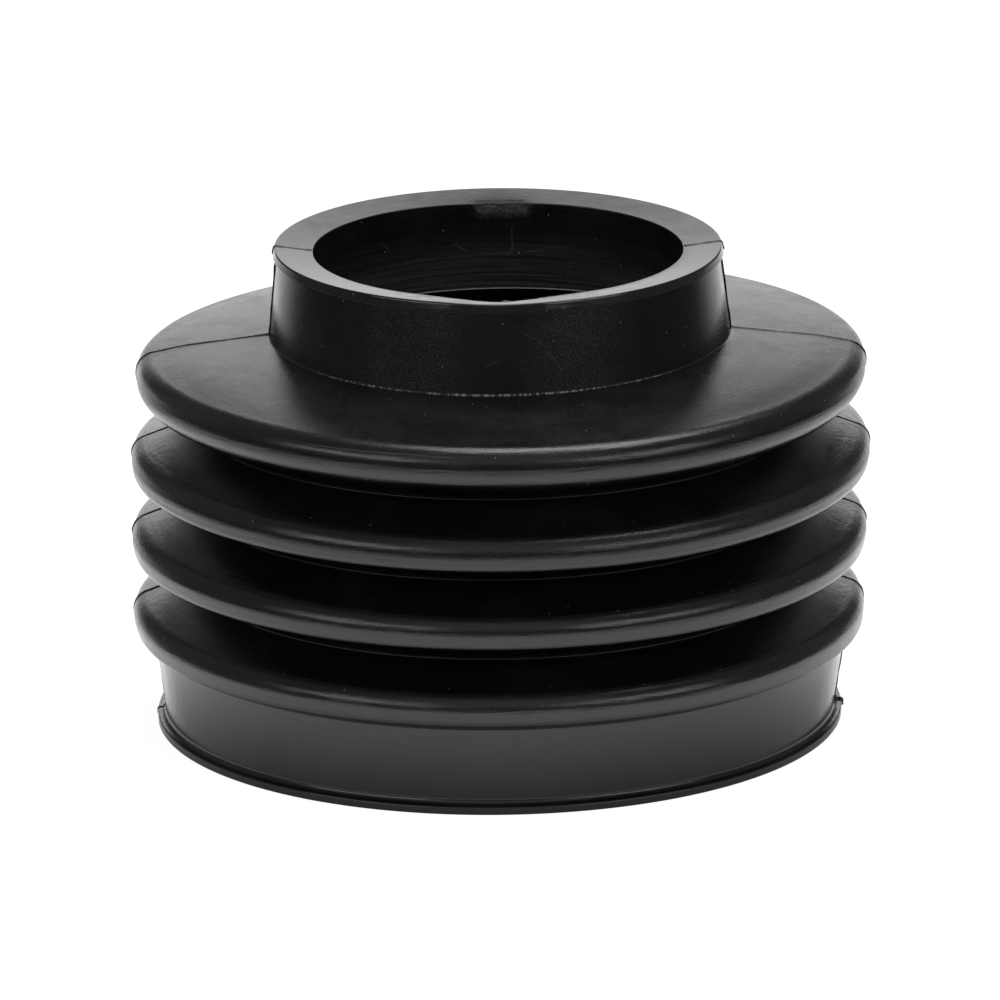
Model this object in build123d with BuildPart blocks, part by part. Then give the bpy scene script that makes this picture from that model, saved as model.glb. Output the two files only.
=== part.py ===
from build123d import *
import os
from math import cos, radians, sin, tan

# Rubber bellows boot, moulded in one piece: a thick neck that grips a tube, a nearly flat
# shoulder, four rounded folds, and a collar with a foot lip for a band clamp.
# Millimetres and degrees. +Z is the boot's axis, pointing out of the neck, and the foot's flat
# face lies on Z = 0.

# ---- driving dimensions ----
# neck
bore_radius = 25.0         # straight bore that grips a 50 mm tube
bore_lead_in = 0.45        # rounding at the bore's inner end
neck_wall = 4.93           # where the neck is thinnest, just under its lip
neck_height = 12.47        # from the shoulder to the top of the rim
neck_draft = 6.2           # the neck's side widens towards the shoulder
rim_dish = 0.73            # the rim falls by this much from its outer edge to the bore
lip_height = 1.2
lip_width = 0.58           # of the rim's lip beyond the neck under it
lip_bevel = 0.3            # the lip leans in by this much at the rim's edge
lip_blend = 0.5            # height over which the lip runs out into the neck

# bellows wall
wall = 1.3                 # the same all the way round the folds
fold_count = 3             # equal folds below the top one
fold_overhang = 2.75       # of the lowest fold beyond the top of the collar
fold_growth = 0.19         # each fold is this much wider than the one below it
pitch = 11.2               # between the second and third folds
settle = 0.3               # the lowest folds are closer by this much, pressed by the boot's weight
fold_depth = 3.85          # height of a fold's edge, between its two corners before rounding
fold_draft = 10.0          # the edge leans in towards its foot
crest_round = 2.5          # upper corner of a fold
fold_foot_round = 1.5      # lower corner of a fold
root_round = 0.15          # outside, at the sharp root between two folds
upper_slope = 16.5         # top side of a fold, falling outwards
lower_slope = 24.3         # underside of a fold, rising outwards

# shoulder and the deeper top fold
shoulder_slope = 6.6       # falls outwards from the neck
top_fold_rise = 11.74      # middle of the top fold's upright edge above the next fold's crest
top_fold_setback = 0.7     # its edge lies this much inside the next fold's crest
top_fold_depth = 4.68      # height of its edge, between the two corners before rounding
top_fold_slope = 27.0      # its underside, rising outwards
shoulder_round = 2.6       # upper corner of the top fold
underside_round = 3.7      # lower corner of the top fold

# collar
collar_radius = 43.0       # straight seat that goes over the flange
seat_lead_in = 0.4         # rounding at the seat's inner end
collar_wall = 3.97         # at the top of the collar, where it meets the lowest fold
collar_height = 12.0       # from the foot to the crease under the lowest fold
collar_taper = 8.0         # the collar's side narrows towards the foot
foot_lip_height = 1.15
foot_lip_width = 1.23      # of the lip beyond the collar above it
foot_lip_blend = 0.8       # fillet between the collar's side and the lip

# mould marks and edges
flash_height = 0.2         # fin left by the mould's parting line
flash_width = 0.24
crease_round = 0.3         # where the neck meets the shoulder and the collar the lowest fold
edge_round = 0.25          # outer edges of the rim and the lips

# ---- corners of the outside before rounding, as (radius, height) ----


def slope(angle):
    """Rise over run of a line at this angle to the horizontal."""
    return tan(radians(angle))


def root(above, underside_slope, below):
    """Where the underside of the fold above meets the top side of the fold below."""
    gap = above[1] - below[1] + slope(upper_slope) * (above[0] - below[0])
    inward = gap / (slope(underside_slope) + slope(upper_slope))
    return above[0] - inward, above[1] - inward * slope(underside_slope)


# a fold's upper corner, beyond the crest of its rounding and above it
crest_tangent = crest_round * slope((90 - upper_slope + fold_draft) / 2)
crest_reach = crest_tangent * sin(radians(fold_draft)) - crest_round * (1 - cos(radians(fold_draft)))
crest_drop = crest_tangent * cos(radians(fold_draft)) - crest_round * sin(radians(fold_draft))

# upper corners of the equal folds, listed from the top down
collar_top = (collar_radius + collar_wall, collar_height)
upper_radius = collar_top[0] + fold_overhang + crest_reach
lower_radius = upper_radius - fold_depth * slope(fold_draft)
upper_height = collar_height + (lower_radius - collar_top[0]) * slope(lower_slope) + fold_depth
folds = [(upper_radius, upper_height)]
for fold in range(1, fold_count):
    rise = pitch - settle if fold == 1 else pitch
    folds.insert(0, (folds[0][0] + fold_growth, folds[0][1] + rise))

# top fold, with one corner above and one below its edge
top_edge = folds[0][0] - crest_reach - top_fold_setback
top_middle = folds[0][1] - crest_drop + top_fold_rise
top_upper = (top_edge, top_middle + top_fold_depth / 2)
top_lower = (top_edge, top_middle - top_fold_depth / 2)

# bellows, from the shoulder's edge down to the lowest fold
bellows_points = [top_upper, top_lower]
bellows_rounds = [shoulder_round, underside_round]
underside_slope = top_fold_slope
for upper in folds:
    lower = (upper[0] - fold_depth * slope(fold_draft), upper[1] - fold_depth)
    bellows_points += [root(bellows_points[-1], underside_slope, upper), upper, lower]
    bellows_rounds += [root_round, crest_round, fold_foot_round]
    underside_slope = lower_slope


def shoulder_point(radius):
    """Point of the shoulder at a radius."""
    return radius, top_upper[1] + (top_edge - radius) * slope(shoulder_slope)


def lowest_underside_point(radius):
    """Point of the lowest fold's underside at a radius."""
    return radius, collar_height + (radius - collar_top[0]) * slope(lower_slope)


# neck and collar
waist_radius = bore_radius + neck_wall
waist_drop = lip_height + lip_blend
neck_foot = shoulder_point(waist_radius + (neck_height - waist_drop) * slope(neck_draft))
height = neck_foot[1] + neck_height
lip_radius = waist_radius + lip_width
rim_edge = lip_radius - lip_bevel
collar_foot = collar_top[0] - (collar_height - foot_lip_height) * slope(collar_taper)
foot_lip_radius = collar_foot + foot_lip_width


def rim_point(radius):
    """Point of the dished rim at a radius."""
    return radius, height - rim_dish * (rim_edge - radius) / (rim_edge - bore_radius)


# ---- half sections, radius along X and height along Y ----
core_radius = bore_radius / 2      # both outlines close well inside the bore
beyond = 2 * wall                  # the hollow runs this far past both ends, less one wall

with BuildSketch() as outside:
    with BuildLine():
        FilletPolyline(
            (core_radius, 0),
            rim_point(core_radius),
            rim_point(rim_edge),
            (lip_radius, height - lip_height),
            (waist_radius, height - waist_drop),
            neck_foot,
            *bellows_points,
            collar_top,
            (collar_foot, foot_lip_height),
            (foot_lip_radius, foot_lip_height),
            (foot_lip_radius, 0),
            radius=[
                0, 0, edge_round, edge_round, edge_round, crease_round, *bellows_rounds,
                crease_round, foot_lip_blend, edge_round, edge_round,
            ],
            close=True,
        )
    make_face()

# the inside keeps one wall thickness from the shoulder, the folds and the lowest underside, and
# the two seats are straight
with BuildSketch() as hollow:
    with BuildLine():
        FilletPolyline(
            (-wall, -beyond),
            (-wall, height + beyond),
            (bore_radius + wall, height + beyond),
            shoulder_point(bore_radius + wall),
            *bellows_points,
            lowest_underside_point(collar_radius + wall),
            (collar_radius + wall, -beyond),
            radius=[0, 0, 0, 0, *bellows_rounds, 0, 0],
            close=True,
        )
    make_face()
    offset(amount=-wall, kind=Kind.INTERSECTION)
    bore_end = hollow.vertices().filter_by_position(Axis.X, bore_radius, bore_radius).sort_by(Axis.Y)[0]
    fillet(bore_end, bore_lead_in)
    seat_end = hollow.vertices().filter_by_position(Axis.X, collar_radius, collar_radius).sort_by(Axis.Y)[-1]
    fillet(seat_end, seat_lead_in)

# ---- the boot ----
with BuildPart() as bellows_boot:
    with BuildSketch(Plane.XZ):
        add(outside.sketch)
        add(hollow.sketch, mode=Mode.SUBTRACT)
    revolve(axis=Axis.Z)

    # fin in the plane of the mould's parting line, all round the outside
    with BuildSketch(Plane.XZ):
        add(outside.sketch)
        offset(amount=flash_height)
        add(hollow.sketch, mode=Mode.SUBTRACT)
        with Locations((foot_lip_radius, -flash_height)):
            Rectangle(2 * foot_lip_radius, 2 * flash_height, mode=Mode.SUBTRACT)
        mirror(about=Plane.YZ)
    extrude(amount=flash_width / 2, both=True)

bellows_boot.part.label = "bellows_boot"
os.makedirs("parts", exist_ok=True)
export_step(bellows_boot.part, "parts/bellows_boot.step")
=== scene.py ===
"""A moulded rubber bellows boot on a pale table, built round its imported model.

The boot's surface is its section carried round the axis as one closed grid, with the fin of the
mould's parting line, the scars of the two gates on the rim and the slump of the soft rings worked
into it. The rubber, its haze, dust and tool marks are one procedural material.
"""

import math

import bpy
import numpy as np
from mathutils import Matrix, Vector


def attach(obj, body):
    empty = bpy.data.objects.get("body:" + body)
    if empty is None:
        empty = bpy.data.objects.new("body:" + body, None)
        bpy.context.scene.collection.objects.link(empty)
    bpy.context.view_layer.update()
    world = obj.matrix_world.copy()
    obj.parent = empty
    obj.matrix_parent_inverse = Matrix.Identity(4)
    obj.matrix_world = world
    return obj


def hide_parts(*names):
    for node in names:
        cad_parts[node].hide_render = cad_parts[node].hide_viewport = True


bl_info = {
    "name": "Rubber bellows boot",
    "version": (1, 0, 0),
    "blender": (4, 5, 0),
    "location": "View3D > Sidebar > Boot",
    "description": "Builds a moulded rubber bellows boot and the stage it stands on",
    "category": "Add Mesh",
}

MM = 0.001
NODE = "bellows_boot"
NECK_FOOT = 4  # number of the section's corner where the neck meets the shoulder
NECK_MIDDLE = 28  # radius between the neck's bore and its side, in millimetres

# ---- the grid that carries the surface ----
# spacing of the points along the section, for the torn gate, the small edges, the outside and
# the inside
TORN, FINE, PLAIN, COARSE = 0.25 * MM, 0.5 * MM, 1.6 * MM, 5 * MM
GUARD = 0.12 * MM  # how close a straight stretch's first and last points are to its ends
SAGITTA = 1 / 260  # how far a chord may lie inside its arc, as a part of the spacing
LARGEST_SAGITTA = 0.1  # and at most, as a part of the arc's radius
COLUMNS = 176  # evenly spaced round the axis, before the fin and the gates get their own
FIN_COLUMNS = (0, 0.28, 0.45, 0.62, 0.85, 1.6, 4)  # distance from the fin's middle, in its widths
LEFT_OUT = 3  # how many evenly spaced columns the fin's take the place of, on each side
GATE = 0.21  # half of the angle that a gate's columns take up, in radians
GATE_COLUMNS = 37  # across each gate

# ---- the slump of the rings ----
# how the soft rings have settled, from the foot to the rim: height, tilt that lifts the side of
# +X, in degrees, droop of the folds' edges halfway between the parting lines, twist that lifts
# them at +X +Y and at -X -Y and lowers them between, and shift to +X
SETTLED = (
    (0, 0, 0, 0, -0.02 * MM),
    (12 * MM, 0, 0, 0, 0.08 * MM),
    (15 * MM, 0.08, 0.1 * MM, 0.12 * MM, -0.15 * MM),
    (26 * MM, 0.18, 0.27 * MM, 0.19 * MM, -0.08 * MM),
    (37 * MM, 0.3, 0.74 * MM, 0.25 * MM, 0.1 * MM),
    (49 * MM, 0.45, 0.61 * MM, 0.33 * MM, 0.12 * MM),
    (54 * MM, 0.2, 0.5 * MM, 0.2 * MM, 0),
    (66 * MM, -0.19, 0, 0, -0.3 * MM),
)
# how far the parting line lies behind the axis, from the foot to the rim: height, shift, and
# what is added to it at +X and taken off at -X
PARTING = (
    (12 * MM, 0, 0),
    (15 * MM, 1.3 * MM, 0.5 * MM),
    (20 * MM, 1.45 * MM, 0.5 * MM),
    (30 * MM, 1.4 * MM, 0.3 * MM),
    (41 * MM, 1.1 * MM, 0),
    (46 * MM, 0.3 * MM, 0),
    (50 * MM, 0, 0),
    (54 * MM, 0, 0),
    (66 * MM, 0.65 * MM, 0.35 * MM),
)
ROOTS = 36 * MM  # radius where the droop starts

# ---- marks on the rubber ----
# how much of the dust's colour each kind of mark adds, from 0 to 1
HAZE, DOTS, POWDER = 0.003, 0.03, 0.08
SPECKS, EXPOSED_SPECKS = 0.05, 0.4
CRUMBS, TORN_DIRT, SCRATCHED = 0.6, 0.3, 0.07
# the bore's haze and turned lines, and how much paler the bore gets towards its foot, between the
# lines and on them
BORE_HAZE, LOW_PALING, BORE_LINES, LOW_LINES = 0.004, 0.018, 0.008, 0.06
# light scratches in millimetres: wall (1 the bore's back, -1 the neck's front), then x and height
# of both ends, and strength
SCRATCHES = (
    (-1, 2.9, 61.8, 5.5, 60.1, 0.5),
    (-1, -1.7, 57.6, -0.35, 58.3, 0.5),
    (-1, -2.6, 58.4, -1.7, 57.6, 0.3),
    (-1, 6.3, 59.0, 8.1, 56.6, 0.6),
    (-1, 2.4, 64.4, 9.5, 60.9, 0.25),
    (1, 1.76, 61.7, 1.72, 58.5, 0.8),
    (1, 1.72, 58.6, 1.2, 57.9, 0.9),
    (1, 1.2, 57.9, -2.3, 57.95, 0.6),
    (1, -6.2, 59.4, -4.6, 58.4, 0.9),
    (1, 3.5, 58.15, 6.0, 58.5, 0.9),
    (1, 6.3, 59.0, 10.4, 59.3, 0.4),
    (1, -16.3, 61.2, -15.0, 59.8, 0.5),
    (1, -11.6, 57.9, -8.9, 57.8, 0.8),
)

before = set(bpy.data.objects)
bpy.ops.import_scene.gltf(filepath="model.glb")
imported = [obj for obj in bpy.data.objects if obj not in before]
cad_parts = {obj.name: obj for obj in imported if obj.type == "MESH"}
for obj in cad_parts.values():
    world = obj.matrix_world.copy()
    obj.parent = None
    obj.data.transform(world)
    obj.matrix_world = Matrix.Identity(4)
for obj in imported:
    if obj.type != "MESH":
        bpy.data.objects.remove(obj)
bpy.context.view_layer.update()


# ---- settings ----


def length(name, millimetres, description):
    """A size in metres, with its default given in millimetres."""
    return bpy.props.FloatProperty(
        name=name, description=description, default=millimetres * MM, unit="LENGTH", precision=5
    )


def angle(name, degrees, description):
    """An angle, with its default given in degrees."""
    return bpy.props.FloatProperty(
        name=name, description=description, default=math.radians(degrees), subtype="ANGLE"
    )


def share(name, default, description):
    """A number from 0 to 1."""
    return bpy.props.FloatProperty(
        name=name, description=description, default=default, min=0, max=1, subtype="FACTOR"
    )


def amount(name, default, description):
    """A plain number that isn't negative."""
    return bpy.props.FloatProperty(name=name, description=description, default=default, min=0)


def colour(name, default, description):
    """A linear colour."""
    return bpy.props.FloatVectorProperty(
        name=name, description=description, default=default, size=3, min=0, max=1, subtype="COLOR"
    )


class BootShape(bpy.types.PropertyGroup):
    """Sizes of the boot, as moulded."""

    bore_radius: length("Bore radius", 25.0, "Straight bore of the neck")
    bore_lead_in: length("Bore lead-in", 0.45, "Rounding at the bore's inner end")
    neck_wall: length("Neck wall", 4.93, "Neck where it is thinnest, just under its lip")
    neck_height: length("Neck height", 12.47, "From the shoulder to the top of the rim")
    neck_draft: angle("Neck draft", 6.2, "The neck's side widens towards the shoulder")
    rim_dish: length("Rim dish", 0.73, "Fall of the rim from its outer edge to the bore")
    lip_height: length("Lip height", 1.2, "Height of the lip round the rim")
    lip_width: length("Lip width", 0.58, "The lip beyond the neck under it")
    lip_bevel: length("Lip bevel", 0.3, "The lip leans in by this much at the rim's edge")
    lip_blend: length("Lip blend", 0.08, "Height over which the lip runs back into the neck")
    lip_round: length("Lip rounding", 0.16, "Lower corner of the lip, and the neck's below it")

    wall: length("Wall", 1.3, "Thickness of the folded wall")
    fold_count: bpy.props.IntProperty(
        name="Equal folds", description="Folds below the top one", default=3, min=1
    )
    fold_overhang: length("Fold overhang", 2.75, "The lowest fold beyond the collar's top")
    fold_growth: length("Fold growth", 0.19, "Each fold is wider than the one below by this")
    pitch: length("Pitch", 11.2, "Height from one fold to the next")
    settle: length("Settle", 0.3, "The lowest folds are closer by this much")
    fold_depth: length("Fold depth", 3.7, "Height of a fold's edge before rounding")
    fold_draft: angle("Fold draft", 10.0, "A fold's edge leans in towards its foot")
    crest_round: length("Crest rounding", 2.5, "Upper corner of a fold")
    fold_foot_round: length("Fold foot rounding", 1.5, "Lower corner of a fold")
    root_round: length("Root rounding", 0.15, "Outside, at the sharp root between two folds")
    upper_slope: angle("Upper slope", 20.5, "Top side of a fold, falling outwards")
    lower_slope: angle("Lower slope", 24.3, "Underside of a fold, rising outwards")

    shoulder_slope: angle("Shoulder slope", 6.6, "The shoulder falls outwards")
    top_fold_rise: length("Top fold rise", 11.74, "Middle of its edge above the next crest")
    top_fold_setback: length("Top fold setback", 0.7, "The top fold's edge inside the next one's")
    top_fold_depth: length("Top fold depth", 4.68, "Height of its edge before rounding")
    top_fold_slope: angle("Top fold slope", 27.0, "Its underside, rising outwards")
    shoulder_round: length("Shoulder rounding", 2.6, "Upper corner of the top fold")
    underside_round: length("Underside rounding", 3.7, "Lower corner of the top fold")

    collar_radius: length("Collar radius", 43.0, "Straight seat inside the collar")
    seat_lead_in: length("Seat lead-in", 0.4, "Rounding at the seat's inner end")
    collar_wall: length("Collar wall", 3.97, "At the top of the collar")
    collar_height: length("Collar height", 12.0, "From the foot to the lowest fold")
    collar_taper: angle("Collar taper", 8.0, "The collar narrows towards the foot")
    foot_lip_height: length("Foot lip height", 1.15, "Height of the lip at the foot")
    foot_lip_width: length("Foot lip width", 1.23, "The foot lip beyond the collar above it")
    foot_lip_blend: length("Foot lip blend", 0.8, "Fillet between the collar and the lip")

    crease_round: length("Crease rounding", 0.15, "At the neck's foot and the collar's top")
    edge_round: length("Edge rounding", 0.25, "Outer edges of the rim and the lips")
    flash_height: length("Parting fin height", 0.14, "Fin left by the mould's parting line")
    flash_width: length("Parting fin width", 0.24, "Across the fin")


class BootFinish(bpy.types.PropertyGroup):
    """Wear of the soft moulding and the look of its rubber."""

    lean: angle("Lean", 0.68, "The boot leans towards +X, ring by ring")
    shoulder_lift: length("Shoulder lift", 0.42, "The shoulder is higher at both sides by this")
    fin_on_neck: amount("Fin on the neck", 0.8, "Added there, as a multiple of the fin's height")
    fin_on_collar: amount("Fin on the collar", 1.5, "Added there, in the same way")
    fin_bumps: length("Fin bumps", 1.3, "Length of the fin's uneven stretches")
    scar_depth: length("Gate scar depth", 0.5, "Where the gates were cut off the rim")
    scar_width: length("Gate scar width", 3.75, "Half width of a gate scar")
    rim_lift: length("Rim lift", 0.12, "The rim round the front gate is higher by this much")
    nib_height: length("Nib height", 0.35, "Crumb of rubber left in the front gate")
    nib_width: length("Nib width", 0.283, "Half width of the crumb")
    nib_aside: length("Nib aside", 0.9, "The crumb lies this far to +X")
    tear_depth: length("Gate tear depth", 0.35, "Where the back gate was torn out of the bore")
    tear_height: length("Gate tear height", 1.8, "Of the torn patch, down from the rim")
    tear_aside: length("Gate tear aside", 0.5, "The torn patch lies this far to +X")
    tear_bumps: length("Gate tear bumps", 0.42, "Size of the torn patch's ragged bumps")
    rubber: colour("Rubber", (0.004, 0.004, 0.0042), "Colour of the rubber")
    roughness: share("Roughness", 0.22, "Of the moulded skin")
    grain: length("Grain", 0.02, "Height of the skin's grain")
    dust: colour("Dust", (0.6, 0.6, 0.58), "Colour of dust and haze")
    index: amount("Refractive index", 1.55, "Of the rubber's skin")


class BootStage(bpy.types.PropertyGroup):
    """Camera, table and lights."""

    elevation: angle("Elevation", 16.27, "The camera looks down by this much")
    distance: length("Distance", 1557.2, "From the camera to what it looks at")
    target: length("Target height", 29.99, "The camera looks at the axis, this high")
    lens: amount("Lens", 412.6, "Focal length in millimetres")
    roll: angle("Roll", 0.68, "The camera is turned clockwise by this much")
    softbox: length("Softbox", 640.0, "Side of the square light overhead")
    softbox_height: length("Softbox height", 1100.0, "Above the table")
    softbox_back: length("Softbox back", 230.0, "The overhead light lies this far behind the boot")
    softbox_aside: length("Softbox aside", 170.0, "And this far to +X")
    softbox_power: amount("Softbox power", 5.8, "In watts")
    fill: length("Fill", 1600.0, "Side of the weak square light in front, above the camera")
    fill_height: length("Fill height", 1250.0, "Above the table")
    fill_front: length("Fill front", 1300.0, "The weak light lies this far in front of the boot")
    fill_power: amount("Fill power", 2.0, "In watts")
    side_width: length("Side light width", 960.0, "Of the low light at each side")
    side_depth: length("Side light depth", 360.0, "Of the low light at each side")
    side_height: length("Side light height", 560.0, "Above the table")
    side_front: length("Side light front", 820.0, "The side lights lie this far in front")
    side_aside: length("Side light aside", 860.0, "And this far to each side")
    side_target: length("Side light target", 40.0, "They shine at the axis, this high")
    side_power: amount("Side light power", 2.4, "In watts, of each one")
    table: length("Table", 6000.0, "Side of the square table")
    backdrop_width: length("Backdrop width", 3200.0, "Of the upright sheet behind the boot")
    backdrop_height: length("Backdrop height", 1900.0, "Above the table")
    backdrop_back: length("Backdrop back", 1900.0, "It stands this far behind the boot")


# ---- surfaces ----


def boot_corners(s):
    """Corners of the closed section as rows of radius, height, rounding and the spacing of the
    points on the straight stretch that follows. It starts at the rim's inner edge, runs down the
    outside to the foot and comes back up the inside.

    A root lies where the underside of one fold meets the top side of the next. The inside is the
    bellows line set in by one wall: each corner moves along its bisector, so both stretches stay
    parallel to their outside, and its rounding grows or shrinks by the wall."""
    up, down, draft = (math.tan(a) for a in (s.upper_slope, s.lower_slope, s.fold_draft))
    # a fold's upper corner, beyond the crest of its rounding and above it
    tangent = s.crest_round * math.tan((math.pi / 2 - s.upper_slope + s.fold_draft) / 2)
    reach = tangent * math.sin(s.fold_draft) - s.crest_round * (1 - math.cos(s.fold_draft))
    drop = tangent * math.cos(s.fold_draft) - s.crest_round * math.sin(s.fold_draft)

    collar_top = s.collar_radius + s.collar_wall
    radius = collar_top + s.fold_overhang + reach
    height = s.collar_height + (radius - s.fold_depth * draft - collar_top) * down + s.fold_depth
    folds = [(radius, height)]
    for fold in range(1, s.fold_count):
        rise = s.pitch - s.settle if fold == 1 else s.pitch
        folds.insert(0, (folds[0][0] + s.fold_growth, folds[0][1] + rise))

    edge = folds[0][0] - reach - s.top_fold_setback
    middle = folds[0][1] - drop + s.top_fold_rise
    bellows = [
        (edge, middle + s.top_fold_depth / 2, s.shoulder_round),
        (edge, middle - s.top_fold_depth / 2, s.underside_round),
    ]
    under = math.tan(s.top_fold_slope)
    for radius, height in folds:
        above = bellows[-1]
        inward = (above[1] - height + up * (above[0] - radius)) / (under + up)
        bellows.append((above[0] - inward, above[1] - inward * under, s.root_round))
        bellows.append((radius, height, s.crest_round))
        bellows.append((radius - s.fold_depth * draft, height - s.fold_depth, s.fold_foot_round))
        under = down

    def shoulder(at):
        """Height of the shoulder at a radius."""
        return bellows[0][1] + (edge - at) * math.tan(s.shoulder_slope)

    waist = s.bore_radius + s.neck_wall
    waist_drop = s.lip_height + s.lip_blend
    neck_foot = waist + (s.neck_height - waist_drop) * math.tan(s.neck_draft)
    top = shoulder(neck_foot) + s.neck_height
    lip = waist + s.lip_width
    collar_foot = collar_top - (s.collar_height - s.foot_lip_height) * math.tan(s.collar_taper)
    foot_lip = collar_foot + s.foot_lip_width

    # the line that is set in: the shoulder from the axis, the bellows, and the lowest underside
    line = np.array(
        [(0, shoulder(0)), *(corner[:2] for corner in bellows)]
        + [(0, s.collar_height - collar_top * down)]
    )
    along = np.diff(line, axis=0)
    along /= np.linalg.norm(along, axis=1, keepdims=True)
    inwards = np.stack([along[:, 1], -along[:, 0]], axis=1)
    before, after = inwards[:-1], inwards[1:]
    bisector = (before + after) / (1 + np.sum(before * after, axis=1, keepdims=True))
    inner = line[1:-1] + s.wall * bisector
    turn = along[:-1, 0] * along[1:, 1] - along[:-1, 1] * along[1:, 0]
    inner_rounds = np.array([corner[2] for corner in bellows]) + s.wall * np.sign(turn)
    bore_end = inner[0, 1] + (inner[0, 0] - s.bore_radius) * math.tan(s.shoulder_slope)
    seat_end = inner[-1, 1] - (inner[-1, 0] - s.collar_radius) * down

    inside = [
        (*place, rounding, COARSE) for place, rounding in zip(inner[::-1], inner_rounds[::-1])
    ]
    return [
        (s.bore_radius, top - s.rim_dish, 0.5 * s.edge_round, FINE),
        (lip - s.lip_bevel, top, s.edge_round, FINE),
        (lip, top - s.lip_height, s.lip_round, FINE),
        (waist, top - waist_drop, s.lip_round, PLAIN),
        (neck_foot, shoulder(neck_foot), s.crease_round, PLAIN),
        *((*corner, PLAIN) for corner in bellows),
        (collar_top, s.collar_height, s.crease_round, PLAIN),
        (collar_foot, s.foot_lip_height, s.foot_lip_blend, FINE),
        (foot_lip, s.foot_lip_height, s.edge_round, FINE),
        (foot_lip, 0, s.edge_round, PLAIN),
        (s.collar_radius, 0, 0.5 * s.edge_round, COARSE),
        (s.collar_radius, seat_end, s.seat_lead_in, COARSE),
        *inside,
        (s.bore_radius, bore_end, s.bore_lead_in, TORN),
    ]


def rounded(corners):
    """The closed outline through rounded corners, as points, outward normals and stations: a
    station is the number of a point's corner plus the part of the way to the next one.

    An arc's tangent points lie at rounding * tan(turn / 2) from the corner, its centre lies one
    rounding to the side, and its normals turn evenly from one stretch's to the next's. Its steps
    are as long as a sagitta in proportion to the spacing allows. A straight stretch of the
    outside has a point close to each end, so that shading turns only on the arcs."""
    table = np.array(corners)
    place, rounding, spacing = table[:, :2], table[:, 2], table[:, 3]
    leaving = np.roll(place, -1, axis=0) - place
    distance = np.linalg.norm(leaving, axis=1)
    heading = np.arctan2(leaving[:, 1], leaving[:, 0])
    arriving = np.roll(heading, 1)
    turn = (heading - arriving + math.pi) % math.tau - math.pi
    tangent = rounding * np.tan(np.abs(turn) / 2)
    outer_side = -np.sign(turn)
    sagitta = np.minimum(LARGEST_SAGITTA, spacing * SAGITTA / rounding)
    arc_step = 2 * np.arccos(1 - sagitta)
    points, normals, stations = [], [], []
    for i in range(len(table)):
        steps = max(3, math.ceil(abs(turn[i]) / arc_step[i])) + 1
        facing = arriving[i] + turn[i] * np.linspace(0, 1, steps) + math.pi / 2
        normal = np.stack([np.cos(facing), np.sin(facing)], axis=1)
        arrow = np.array([math.cos(arriving[i]), math.sin(arriving[i])])
        start = place[i] - arrow * tangent[i]
        arc = start + (normal - normal[0]) * rounding[i] * outer_side[i]

        straight = distance[i] - tangent[i] - tangent[(i + 1) % len(table)]
        part = np.linspace(0, 1, max(1, math.ceil(straight / spacing[i])) + 1)[1:-1]
        if straight > 5 * GUARD and spacing[i] < COARSE:
            part = np.concatenate([[GUARD / straight], part, [1 - GUARD / straight]])
        arrow = np.array([math.cos(heading[i]), math.sin(heading[i])])
        points += [arc, arc[-1] + arrow * straight * part[:, None]]
        normals += [normal, np.repeat(normal[-1:], len(part), axis=0)]
        stations += [np.full(steps, float(i)), i + part]
    return np.concatenate(points), np.concatenate(normals), np.concatenate(stations)


def smooth_step(low, high, value):
    """0 below low, 1 above high, and a smooth S between them."""
    part = np.clip((value - low) / (high - low), 0, 1)
    return part * part * (3 - 2 * part)


def bell_curve(value, width):
    """1 where the value is 0, and less on both sides: exp(-(value / width)^2 / 2)."""
    return np.exp(-((value / width) ** 2) / 2)


def bumps(across, along, seed):
    """Smooth random heights from -1 to 1: random values on a grid one unit apart, which repeats,
    blended between its points by an S curve."""
    size = 64
    table = np.random.default_rng(seed).uniform(-1, 1, (size, size))
    column, row = np.floor(across).astype(int), np.floor(along).astype(int)
    right, up = smooth_step(0, 1, across - column), smooth_step(0, 1, along - row)
    column, next_column = column % size, (column + 1) % size
    row, next_row = row % size, (row + 1) % size
    low = table[row, column] * (1 - right) + table[row, next_column] * right
    high = table[next_row, column] * (1 - right) + table[next_row, next_column] * right
    return low * (1 - up) + high * up


def column_angles(radius, fin_width):
    """Angles of the surface's columns at each radius, as rows by columns. Next to the parting
    plane the columns keep their distance from it at every radius, so that the fin is straight,
    they are close together at the gates, and the others are evenly spaced. One half goes from 0
    to half a turn, and the other half is its mirror image."""
    beside = np.arcsin(fin_width * np.array(FIN_COLUMNS) / radius[:, None])
    even = np.linspace(0, math.pi, COLUMNS // 2 + 1)[LEFT_OUT:-LEFT_OUT]
    at_gate = math.pi / 2 + np.linspace(-GATE, GATE, GATE_COLUMNS)
    away = np.abs(even - math.pi / 2) > 1.05 * GATE
    even = np.sort(np.concatenate([even[away], at_gate]))
    even = np.broadcast_to(even, (len(radius), len(even)))
    half = np.concatenate([beside, even, math.pi - beside[:, ::-1]], axis=1)
    return np.concatenate([half, math.tau - half[:, -2:0:-1]], axis=1)


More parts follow.
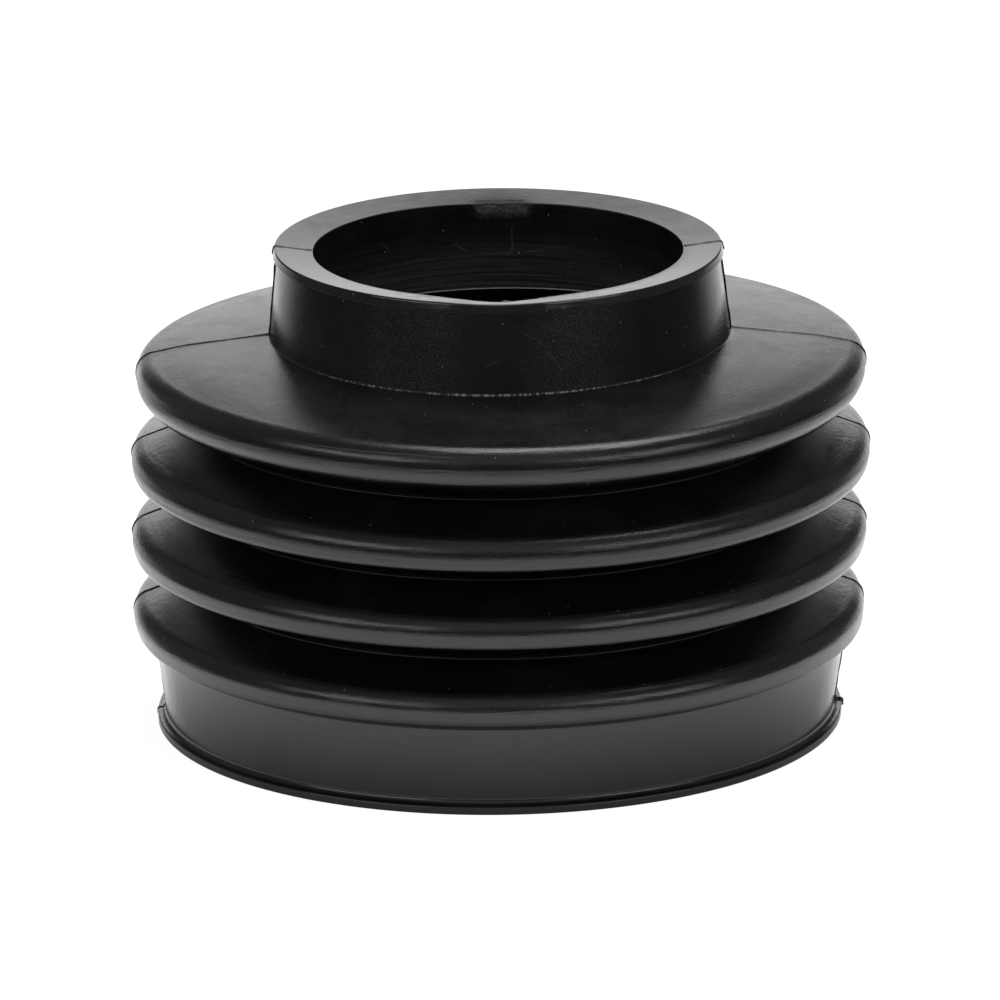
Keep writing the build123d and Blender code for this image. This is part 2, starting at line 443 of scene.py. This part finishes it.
def parting_fin(shape, finish, radius, height, turned, drop):
    """How far the parting fin stands out of the outside. An S curve on each side takes it down to
    nothing at 0.6 of its width from the plane y = 0, and bumps along the section make it uneven,
    others at +X than at -X. It is higher on the neck and on the collar, at -X only on the
    collar's uppermost part."""
    width = shape.flash_width
    right = np.cos(turned) > 0
    other_bumps = 20 * right
    along = (radius + 2 * height) / finish.fin_bumps + other_bumps
    uneven = 0.85 + 0.3 * bumps(along, along, 5)

    under_lip = smooth_step(0.1 * MM, 0.8 * MM, drop - shape.lip_height)
    on_neck = under_lip * (drop < shape.neck_height)
    above_collar = height - shape.collar_height
    on_collar = 1 - smooth_step(-0.5 * MM, 0.5 * MM, above_collar)
    at_left = 0.8 * smooth_step(-3.5 * MM, -2.5 * MM, above_collar)
    added = finish.fin_on_neck * on_neck
    added = added + finish.fin_on_collar * on_collar * np.where(right, 1, at_left)

    across = np.abs(radius * np.sin(turned))
    fin = 1 - smooth_step(0.3 * width, 0.6 * width, across)
    return fin * shape.flash_height * uneven * (1 + added)


def gate_scars(finish, x, front, outwards, drop):
    """How much the scars of the two gates raise the rim, or lower it where negative. Both are
    bell curves across, and fade down the wall as exp(-drop / width). Outwards runs from 0 at the
    bore to 1 at the neck's side, and drop is the depth below the rim.

    In front the rim's inner part is a little higher round the gate. The gate was pared off with a
    slanting cut, which gets deeper inwards from its reach, and a shallow dip runs on to the
    neck's side. A crumb of rubber is left standing at the bore. At the back the rim is only worn,
    by the square of the way inwards."""
    dip, slant, reach = 0.34, 1.8, 0.56
    nib_reach = 0.3
    worn_depth = 0.5
    inwards = np.clip(1 - outwards, 0, 1)
    fade = np.exp(-drop / finish.scar_width)
    bell = bell_curve(x, finish.scar_width)
    raised = finish.rim_lift * bell_curve(x, 2.2 * finish.scar_width) * inwards * fade
    pared = dip * bell + slant * np.maximum(reach * bell - outwards, 0)
    nib = bell_curve(x - finish.nib_aside, finish.nib_width) * np.exp(-drop / MM)
    nib = finish.nib_height * nib * np.clip(1 - outwards / nib_reach, 0, 1)
    worn = worn_depth * bell * inwards**2
    cut = finish.scar_depth * fade
    return np.where(front, raised - cut * pared + nib, -cut * worn)


def gate_tear(finish, x, outwards, drop):
    """How deep the back gate has torn out of the bore. It is a patch with a ragged outline, which
    S curves take down to nothing at both sides, at its foot and outwards. It gets deeper towards
    the rim, and bumps of two sizes pit it."""
    across, down = x / finish.tear_bumps, drop / finish.tear_bumps
    ragged = bumps(across, down, 1) + 0.6 * bumps(2.1 * across, 2.1 * down, 2)
    aside = np.abs(x - finish.tear_aside) / finish.scar_width
    below = drop / finish.tear_height
    within = 1 - smooth_step(0.8, 1.1, aside + 0.08 * ragged)
    within = within * (1 - smooth_step(0.75, 1.25, below + 0.12 * ragged))
    within = within * (1 - smooth_step(0, 0.22, outwards))
    return within * finish.tear_depth * (0.6 * (1.6 - below) + 0.5 * ragged)


def at_height(table, height):
    """The columns of a table after its first one, the height, read between its rows."""
    level, *columns = np.array(table).T
    return [np.interp(height, level, column) for column in columns]


def slumped(shape, finish, radius, height, turned, drop):
    """The points x, y and z of rings that have settled.

    The parting line moves back as PARTING says, and the surface turns with it. Each ring tilts
    about Y. Its folds droop by sin^2 of the angle and twist by sin of twice the angle, from the
    roots outwards. The shoulder rises by cos^2 of the angle. Last, the ring shifts and leans
    towards +X."""
    back, skew = at_height(PARTING, height)
    turned = turned + (back + skew * np.cos(turned)) * np.cos(turned) / radius
    x, y, z = radius * np.cos(turned), radius * np.sin(turned), height

    tilt, droop, twist, aside = at_height(SETTLED, height)
    soft = np.clip((radius - ROOTS) / (shape.collar_radius + shape.collar_wall - ROOTS), 0, 1)
    z = z + x * np.tan(np.radians(tilt))
    z = z + soft * (twist * np.sin(2 * turned) - droop * np.sin(turned) ** 2)

    # the lift starts under the shoulder and runs out at its edge and at the top of the neck
    lifted = 1 - smooth_step(42 * MM, 48.5 * MM, radius)
    lifted = lifted * smooth_step(46 * MM, 50 * MM, height)
    lifted = lifted * np.clip(drop / shape.neck_height, 0, 1)
    z = z + finish.shoulder_lift * lifted * np.cos(turned) ** 2
    return x + z * math.tan(finish.lean) + aside, y, z


def boot_surface(shape, finish):
    """The boot's closed surface, as a grid of points: its section carried round the axis, so that
    a point is radius * (cos, sin) of its angle, and its height. The parting fin moves the outside
    along its normals, the gates' marks move the neck, and then the rings slump."""
    corners = boot_corners(shape)
    section, normal, station = rounded(corners)
    radius, height = section[:, :1], section[:, 1:]
    top = height.max()
    turned = column_angles(section[:, 0], shape.flash_width)

    # the outside runs from the first corner to the first one on the table
    foot = next(number for number, corner in enumerate(corners) if corner[1] == 0)
    outside = (station > 0) & (station < foot) & (section[:, 1] > shape.edge_round)
    fin = outside[:, None] * parting_fin(shape, finish, radius, height, turned, top - height)
    radius = radius + normal[:, :1] * fin
    height = height + normal[:, 1:] * fin

    drop = top - height
    neck = drop < shape.neck_height
    x, front = radius * np.cos(turned), np.sin(turned) < 0
    outwards = (radius - shape.bore_radius) / shape.neck_wall
    height = height + neck * gate_scars(finish, x, front, outwards, drop)
    radius = radius + neck * ~front * gate_tear(finish, x, outwards, drop)
    return np.stack(slumped(shape, finish, radius, height, turned, top - height), axis=2)


def closed_grid(name, grid):
    """A mesh object from a grid of points whose rows and columns both close on themselves."""
    rows, columns = grid.shape[:2]
    number = np.arange(rows * columns).reshape(rows, columns)
    down = np.roll(number, -1, axis=0)
    quads = np.stack([number, down, np.roll(down, -1, axis=1), np.roll(number, -1, axis=1)], axis=2)
    mesh = bpy.data.meshes.new(name)
    mesh.vertices.add(rows * columns)
    mesh.vertices.foreach_set("co", grid.astype(np.float32).ravel())
    mesh.loops.add(quads.size)
    mesh.loops.foreach_set("vertex_index", quads.astype(np.int32).ravel())
    mesh.polygons.add(rows * columns)
    mesh.polygons.foreach_set("loop_start", np.arange(0, quads.size, 4, dtype=np.int32))
    mesh.polygons.foreach_set("use_smooth", np.ones(rows * columns, dtype=bool))
    mesh.update(calc_edges=True)
    mesh.validate()
    return link(bpy.data.objects.new(name, mesh))


def link(thing):
    """Puts an object into the scene and returns it."""
    bpy.context.scene.collection.objects.link(thing)
    return thing


# ---- shader trees ----


class Value:
    """An output socket. Arithmetic on it, and on numbers, adds Math nodes."""

    def __init__(self, shader, node, output=0):
        self.shader = shader
        self.node = node
        self.socket = node.outputs[output]

    def output(self, name):
        """Another output of the same node."""
        return Value(self.shader, self.node, name)

    def math(self, operation, *others):
        """This value and the others, put through one Math node."""
        inputs = dict(enumerate((self, *others)))
        return self.shader.node("ShaderNodeMath", {"operation": operation}, inputs)

    def __add__(self, other):
        return self.math("ADD", other)

    def __sub__(self, other):
        return self.math("SUBTRACT", other)

    def __mul__(self, other):
        return self.math("MULTIPLY", other)

    def __rsub__(self, other):
        return self.shader.node("ShaderNodeMath", {"operation": "SUBTRACT"}, {0: other, 1: self})

    __radd__ = __add__
    __rmul__ = __mul__

    def __abs__(self):
        return self.math("ABSOLUTE")

    def step(self, low, high):
        """0 below low, 1 above high, and a smooth S between them. High may be the lower one."""
        settings = {"interpolation_type": "SMOOTHSTEP"}
        inputs = {"Value": self, "From Min": low, "From Max": high}
        return self.shader.node("ShaderNodeMapRange", settings, inputs)


class Shader:
    """The node tree of a material or a world."""

    def __init__(self, owner):
        owner.use_nodes = True
        self.tree = owner.node_tree
        self.tree.nodes.clear()

    def node(self, kind, settings=(), inputs=(), output=0):
        """Adds a node: its settings first, then the values or links of its input sockets, which
        are given by name or number. Returns one of its outputs."""
        node = self.tree.nodes.new(kind)
        for name, setting in dict(settings).items():
            setattr(node, name, setting)
        for name, given in dict(inputs).items():
            if isinstance(given, Value):
                self.tree.links.new(given.socket, node.inputs[name])
            else:
                node.inputs[name].default_value = given
        return Value(self, node, output) if node.outputs else node

    def vector(self, *parts):
        """A vector from three values."""
        return self.node("ShaderNodeCombineXYZ", {}, dict(enumerate(parts)))

    def split(self, vector):
        """The three values of a vector."""
        x = self.node("ShaderNodeSeparateXYZ", {}, {0: vector})
        return x, x.output("Y"), x.output("Z")

    def vector_math(self, operation, inputs, output=0):
        """One Vector Math node on the given inputs."""
        return self.node("ShaderNodeVectorMath", {"operation": operation}, inputs, output)

    def mix(self, part, first, second):
        """A colour between two colours."""
        inputs = {0: part, 6: first, 7: second}
        return self.node("ShaderNodeMix", {"data_type": "RGBA"}, inputs, 2)

    def noise(self, vector, scale, detail, roughness, distortion=0.0):
        """A noise value from 0 to 1."""
        inputs = {
            "Vector": vector,
            "Scale": scale,
            "Detail": detail,
            "Roughness": roughness,
            "Distortion": distortion,
        }
        return self.node("ShaderNodeTexNoise", {}, inputs)

    def place(self):
        """The object's own coordinates, in millimetres."""
        coordinates = self.node("ShaderNodeTexCoord", output="Object")
        return self.vector_math("SCALE", {0: coordinates, "Scale": 1 / MM})

    def specks(self, vector, scale, size, rarity):
        """Round specks in the middles of random cells, of which there are about as many to a
        unit of length as the scale says. The size is a speck's radius, and the rarity is the part
        of the cells that have none."""
        inputs = {"Vector": vector, "Scale": scale}
        cells = self.node("ShaderNodeTexVoronoi", {}, inputs, "Distance")
        chance = self.node("ShaderNodeSeparateColor", {}, {0: cells.output("Color")})
        return cells.step(size * scale, 0.5 * size * scale) * chance.step(rarity, rarity + 0.02)

    def scratch(self, flat, start, end, width):
        """A line between two points of a plane: 1 on it, and 0 from the given width away. The
        nearest point of the line is the start plus a part of the way, which is the dot product
        with the way over its squared length, kept between 0 and 1."""
        along = Vector(end) - Vector(start)
        aim = (*(along / along.length_squared), 0)
        across = self.vector_math("SUBTRACT", {0: flat, 1: (*start, 0)})
        part = self.vector_math("DOT_PRODUCT", {0: across, 1: aim}, "Value")
        part = part.math("MAXIMUM", 0).math("MINIMUM", 1)
        nearest = self.vector(part * along[0], part * along[1], 0)
        away = self.vector_math("DISTANCE", {0: across, 1: nearest}, "Value")
        return away.step(width, 0.3 * width)

    def output(self, surface, kind="ShaderNodeOutputMaterial"):
        """Ends the tree."""
        self.node(kind, {}, {"Surface": surface})


def rgba(shade):
    """A solid colour with its alpha, as the sockets take it."""
    return (*shade, 1)


class Skin:
    """What the rubber's patterns read: the place on the boot in millimetres, with the lean taken
    out of x, masks from 0 to 1 for the zones that look different, and the shared patterns."""

    def __init__(self, shader, shape, finish):
        foot_radius, foot = (size / MM for size in boot_corners(shape)[NECK_FOOT][:2])
        bore_radius = shape.bore_radius / MM
        self.place = shader.place()
        x, y, z = shader.split(self.place)
        x = x - z * math.tan(finish.lean)
        radius = (x * x + y * y).math("SQRT")
        self.x, self.y, self.z, self.radius = x, y, z, radius
        self.around = y.math("ARCTAN2", x)
        # height above the shoulder, or above its slope carried on inwards and outwards
        fall = math.tan(shape.shoulder_slope)
        level = z + radius * fall - (foot + foot_radius * fall)

        # the half in front of the parting line, where it lies on the rim
        shift, skew = (size / MM for size in PARTING[-1][1:])
        self.front = (y - x * (skew / NECK_MIDDLE) - shift).step(0.1, -0.1)
        self.shoulder = radius.step(foot_radius, foot_radius + 0.3) * level.step(-0.9, -0.6)
        # the rim with its lip, and the side of the neck below it
        self.rim = level.step(11, 11.4)
        self.neck = level.step(0.2, 0.6) * radius.step(NECK_MIDDLE, NECK_MIDDLE + 1)
        self.neck = self.neck * radius.step(32, 31.5) * (1 - self.rim)
        # the bore, and what lies low in it
        self.bore = radius.step(bore_radius + 0.6, bore_radius + 0.3)
        self.bore = self.bore * z.step(foot - 1.5, foot - 1)
        self.bore_foot = z.step(foot + 9, foot + 1)
        # the crease between the neck and the shoulder
        self.crease = radius.step(foot_radius - 0.04, foot_radius)
        self.crease = self.crease * radius.step(foot_radius + 0.22, foot_radius + 0.1)
        self.crease = self.crease * level.step(-0.5, -0.3) * level.step(0.4, 0.2)
        # between the folds, all but their edges and only near the roots, and the edges themselves
        grooves = z.step(46.5, 45.5)
        self.tops = radius.step(49.3, 48) * grooves
        self.roots = radius.step(46.5, 43) * grooves
        self.edges = radius.step(46.5, 48)
        # where dust can fall: the shoulder and all above it, and the edges of the folds
        self.exposed = level.step(-4, -2).math("MAXIMUM", radius.step(46, 47.5))

        self.mottle = shader.noise(self.place, 0.5, 2.0, 0.6)
        self.clouds = shader.noise(self.place, 0.1, 4.0, 0.62, 0.6).step(0.38, 0.7)
        self.dots = shader.noise(self.place, 6.0, 1.0, 0.5).step(0.4, 0.85)
        # the torn patch at the back of the bore, with a ragged outline
        self.ragged = shader.noise(self.place, 1.6, 2.0, 0.6)
        torn = (abs(x - finish.tear_aside / MM) + self.ragged * 3).step(6, 4)
        torn = torn * (z - self.ragged * 3).step(61, 62.6)
        torn = torn * radius.step(bore_radius + 0.9, bore_radius + 0.3)
        self.torn = torn * (1 - self.front)


def rubber_dust(shader, on):
    """How much of the dust's colour covers the rubber: haze in clouds, dots in patches, powder at
    two places on the neck's front, specks, crumbs in the front of the crease, the tool's turned
    lines, a paler colour low in the bore, dirt in the torn gate, and light scratches."""
    patches = shader.noise(on.place, 0.07, 2.0, 0.6, 0.4).step(0.46, 0.6)
    powder = abs(on.x + 12).step(11, 3) + abs(on.x - 10).step(9, 2)
    powder = on.neck * on.front * powder
    speckled = patches * (1 - on.bore) * DOTS + powder * POWDER
    dust = on.clouds * HAZE + on.dots * speckled + powder * HAZE
    specks = shader.specks(on.place, 0.5, 0.12, 0.3)
    dust = dust + specks * (SPECKS + on.exposed * EXPOSED_SPECKS)

    crumbs = shader.vector(on.around * 80, on.z, on.radius)
    crumbs = shader.noise(crumbs, 1.0, 1.0, 0.7).step(0.46, 0.68)
    dust = dust + on.crease * crumbs * on.y.step(-18, -24) * CRUMBS

    lines = shader.vector(on.around, on.z * 2.8, 0)
    lines = shader.noise(lines, 1.0, 2.0, 0.7).step(0.3, 0.7)
    # low in the bore the colour gets paler, more so on the turned lines
    turned = lines * (BORE_LINES + on.bore_foot * LOW_LINES)
    dust = dust + on.bore * (on.mottle * BORE_HAZE + on.bore_foot * LOW_PALING + turned)
    dust = dust + on.torn * on.dots * on.ragged.step(0.35, 0.65) * TORN_DIRT

    wobble = (on.mottle - 0.5) * 0.8
    flat = shader.vector(on.x + wobble, on.z + wobble, 0)
    walls = {1: on.bore * (1 - on.front), -1: on.neck * on.front}
    for wall, *ends, strength in SCRATCHES:
        scratch = shader.scratch(flat, ends[:2], ends[2:], 0.14)
        dust = dust + walls[wall] * scratch * (SCRATCHED * strength)
    return dust


def rubber_roughness(on, dust, roughness):
    """The given roughness made uneven, lower on the folds, the neck and the front of the rim, and
    higher on the shoulder, near the roots of the folds and wherever it is dusty or torn."""
    uneven = (on.mottle - 0.5) * 0.1 + on.clouds * 0.06 + roughness
    moulded = uneven + on.shoulder * 0.03 + on.rim * (0.02 - on.front * 0.15)
    moulded = moulded - (on.tops + on.neck) * 0.06
    return moulded + on.crease * 0.5 + on.torn * 0.35 + dust * 0.6 + on.roots * 0.16


def rubber_relief(shader, on, grain):
    """Height of the skin's relief in millimetres: a fine grain that is coarser on the shoulder
    and the folds' edges and nearly gone on the front of the rim, streaks round the boot, flow
    marks near the parting line, and a faint groove that the mould has left on the top fold's
    edge, on one side of the front."""
    fine = shader.noise(on.place, 3.4, 2.0, 0.65)
    coarse = 1 + on.shoulder * 0.5 - on.rim * on.front * 0.9 - on.tops * 0.5 + on.edges * 0.5
    flow = shader.noise(on.place, 0.5, 1.0, 0.5, 1.5)
    flow = flow * on.radius.step(42, 45) * abs(on.y).step(26, 4)
    streaks = shader.vector(on.around * 5, on.z, on.radius)
    streaks = shader.noise(streaks, 1.7, 2.0, 0.5)
    groove = abs(on.z - 50.1).step(0.12, 0.02) * on.radius.step(48, 48.6)
    groove = groove * abs(on.x + 19).step(17, 11) * on.front
    height = (fine - 0.5) * coarse * grain + flow * 0.03 + on.mottle * 0.016
    return height + streaks * (0.015 + on.edges * 0.03) - groove * 0.03


def rubber_material(shape, finish):
    """Black moulded rubber: a satin skin with a fine grain, haze in clouds, dust, light scratches
    and the tool's turned lines in the bore. The two halves of the mould have left a different
    finish on the shoulder and the rim. The shoulder's colour is also darker, which is painted
    shade."""
    material = bpy.data.materials.new("rubber")
    shader = Shader(material)
    on = Skin(shader, shape, finish)
    dust = rubber_dust(shader, on)
    # painted shade: the shoulder's colour is mixed 40% towards black
    base = shader.mix(on.shoulder * 0.4, rgba(finish.rubber), rgba((0, 0, 0)))
    base = shader.mix(dust, base, rgba(finish.dust))
    roughness = rubber_roughness(on, dust, finish.roughness)
    height = rubber_relief(shader, on, finish.grain / MM)
    bump = shader.node("ShaderNodeBump", {}, {"Height": height, "Distance": MM})
    surface = shader.node(
        "ShaderNodeBsdfPrincipled",
        {},
        {"Base Color": base, "Roughness": roughness, "IOR": finish.index, "Normal": bump},
    )
    shader.output(surface)
    return material


# ---- pieces ----


class BootBuild(bpy.types.Operator):
    """Build the rubber boot in place of its plain solid"""

    bl_idname = "boot.build"
    bl_label = "Build the boot"

    def execute(self, context):
        shape = context.scene.boot_shape
        finish = context.scene.boot_finish
        boot = closed_grid("boot_skin", boot_surface(shape, finish))
        boot.data.materials.append(rubber_material(shape, finish))
        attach(boot, "root")
        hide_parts(NODE)
        return {"FINISHED"}


class StageBuild(bpy.types.Operator):
    """Set up the table, backdrop, lights and camera"""

    bl_idname = "boot.stage"
    bl_label = "Build the stage"

    def execute(self, context):
        stage = context.scene.boot_stage
        finish = context.scene.boot_finish
        sheet("table", level_corners(stage), table_material())
        sheet("backdrop", upright_corners(stage), backdrop_material())
        add_lights(stage)
        add_world(context.scene)
        add_camera(context.scene, stage, finish)
        return {"FINISHED"}


def level_corners(stage):
    """Corners of the table, a level square on the ground."""
    half = stage.table / 2
    return [(-half, -half, 0), (half, -half, 0), (half, half, 0), (-half, half, 0)]


def upright_corners(stage):
    """Corners of the backdrop, an upright sheet that faces the front."""
    half, back, top = stage.backdrop_width / 2, stage.backdrop_back, stage.backdrop_height
    return [(-half, back, 0), (half, back, 0), (half, back, top), (-half, back, top)]


def sheet(name, corners, material):
    """A flat sheet with one material."""
    mesh = bpy.data.meshes.new(name)
    mesh.from_pydata(corners, [], [(0, 1, 2, 3)])
    mesh.update()
    mesh.materials.append(material)
    return link(bpy.data.objects.new(name, mesh))


def table_material():
    """White table. The camera sees it as white where no shadow falls on it. In the rubber it shows
    painted light: a painted glow that is bright round the boot and behind it, a painted shadow that
    makes it dimmer close under the folds, and a painted falloff that makes it dark far in front.
    Away is the distance from the boot's axis in millimetres, and behind is 1 straight behind it and
    -1 in front."""
    material = bpy.data.materials.new("table")
    shader = Shader(material)
    place = shader.place()
    away = shader.vector_math("LENGTH", {0: place}, "Value")
    behind = shader.split(place)[1].math("DIVIDE", away)
    # painted shadow: the table's glow in the rubber is dimmer close under the folds in front
    clear = away.step(43, 72).math("MAXIMUM", behind.step(-0.4, 0.5))
    # painted falloff of light: the glow in the rubber fades far in front of the boot
    painted_falloff = 0.04 + away.step(560, 330) * 0.05 + away.step(230, 80) * 0.9
    painted_falloff = painted_falloff.math("MAXIMUM", behind.step(0.35, 1.0) * 0.85)
    # painted light on the table, seen only in the rubber's reflections
    painted_reflected_light = (0.35 + clear * 1.15) * painted_falloff

    path = shader.node("ShaderNodeLightPath")
    lit = shader.node("ShaderNodeBsdfDiffuse", {}, {"Color": rgba([0.35] * 3)})
    white = shader.node("ShaderNodeEmission", {}, {"Strength": path.output("Is Camera Ray") * 0.94})
    seen = shader.node("ShaderNodeAddShader", {}, {0: lit, 1: white})
    glow_with_painted_light = shader.node("ShaderNodeEmission", {}, {"Strength": painted_reflected_light})
    glossy = path.output("Is Glossy Ray")
    shader.output(shader.node("ShaderNodeMixShader", {}, {0: glossy, 1: seen, 2: glow_with_painted_light}))
    return material


def backdrop_material():
    """White wall. In the rubber it shows painted light: a painted glow that gets brighter upwards,
    with painted shade at its sides, its top and its upper corners, in millimetres from the middle
    of its foot."""
    material = bpy.data.materials.new("backdrop")
    shader = Shader(material)
    x, _, z = shader.split(shader.place())
    corner = abs(x) * 1.6 + z * 0.6
    # painted light: the wall's uneven glow, seen only in the rubber's reflections
    painted_reflected_light = corner.step(1500, 850) * z.step(1750, 1350) * (1.08 + z.step(200, 1200) * 0.3)
    path = shader.node("ShaderNodeLightPath")
    glow_with_painted_light = 0.1 + path.output("Is Camera Ray") * 0.9 + path.output("Is Glossy Ray") * painted_reflected_light
    shader.output(shader.node("ShaderNodeEmission", {}, {"Strength": glow_with_painted_light}))
    return material


def add_lights(stage):
    """A square soft light overhead, a weak large one in front, above the camera, and a low wide
    one at each side, in front of the boot."""
    overhead = (stage.softbox_aside, stage.softbox_back, stage.softbox_height)
    area_light("softbox", [stage.softbox] * 2, stage.softbox_power, overhead, (0, 0, -1))
    above = (0, -stage.fill_front, stage.fill_height)
    area_light("fill", [stage.fill] * 2, stage.fill_power, above, (0, 1, -1))
    size = stage.side_width, stage.side_depth
    for name, hand in (("left", -1), ("right", 1)):
        spot = Vector((hand * stage.side_aside, -stage.side_front, stage.side_height))
        aim = Vector((0, 0, stage.side_target)) - spot
        area_light(name, size, stage.side_power, spot, aim)


def area_light(name, size, power, spot, aim):
    """A rectangular area light at a spot, which shines along a direction."""
    light = bpy.data.lights.new(name, "AREA")
    light.shape = "RECTANGLE"
    light.size, light.size_y = size
    light.energy = power
    holder = link(bpy.data.objects.new(name, light))
    holder.location = spot
    holder.rotation_euler = Vector(aim).to_track_quat("-Z", "Y").to_euler()


def add_world(scene):
    """A dim room, which the camera sees as white, and the rubber a little brighter than it is."""
    world = bpy.data.worlds.new("room")
    shader = Shader(world)
    path = shader.node("ShaderNodeLightPath")
    strength = 0.07 + path.output("Is Camera Ray") * 0.93 + path.output("Is Glossy Ray") * 0.16
    background = shader.node("ShaderNodeBackground", {}, {"Strength": strength})
    shader.output(background, "ShaderNodeOutputWorld")
    scene.world = world


def add_camera(scene, stage, finish):
    """A long lens that looks down on the boot and is turned a little about its own axis."""
    lens = bpy.data.cameras.new("camera")
    lens.lens = stage.lens
    lens.clip_end = 20
    camera = link(bpy.data.objects.new("camera", lens))
    down = stage.elevation
    turn = Matrix.Rotation(math.pi / 2 - down, 4, "X") @ Matrix.Rotation(-stage.roll, 4, "Z")
    middle = Matrix.Translation((stage.target * math.tan(finish.lean), 0, stage.target))
    away = (0, -stage.distance * math.cos(down), stage.distance * math.sin(down))
    camera.matrix_world = middle @ Matrix.Translation(away) @ turn
    scene.camera = camera


class BootPanel(bpy.types.Panel):
    """The boot's settings and steps, in the sidebar"""

    bl_idname = "VIEW3D_PT_boot"
    bl_label = "Bellows boot"
    bl_space_type = "VIEW_3D"
    bl_region_type = "UI"
    bl_category = "Boot"

    def draw(self, context):
        scene = context.scene
        for group, operator in PANEL_ROWS:
            for name in group.__annotations__:
                self.layout.prop(getattr(scene, GROUPS[group]), name)
            if operator:
                self.layout.operator(operator.bl_idname)


GROUPS = {BootShape: "boot_shape", BootFinish: "boot_finish", BootStage: "boot_stage"}
PANEL_ROWS = [(BootShape, None), (BootFinish, BootBuild), (BootStage, StageBuild)]
CLASSES = [BootShape, BootFinish, BootStage, BootBuild, StageBuild, BootPanel]


def register():
    """Registers the settings, the steps and the panel."""
    for item in CLASSES:
        bpy.utils.register_class(item)
    for group, name in GROUPS.items():
        setattr(bpy.types.Scene, name, bpy.props.PointerProperty(type=group))


def unregister():
    """Removes what register added."""
    for name in GROUPS.values():
        delattr(bpy.types.Scene, name)
    for item in reversed(CLASSES):
        bpy.utils.unregister_class(item)


def main():
    register()
    bpy.context.scene.view_settings.view_transform = "Standard"
    bpy.ops.boot.build()
    bpy.ops.boot.stage()


if __name__ == "__main__":
    main()
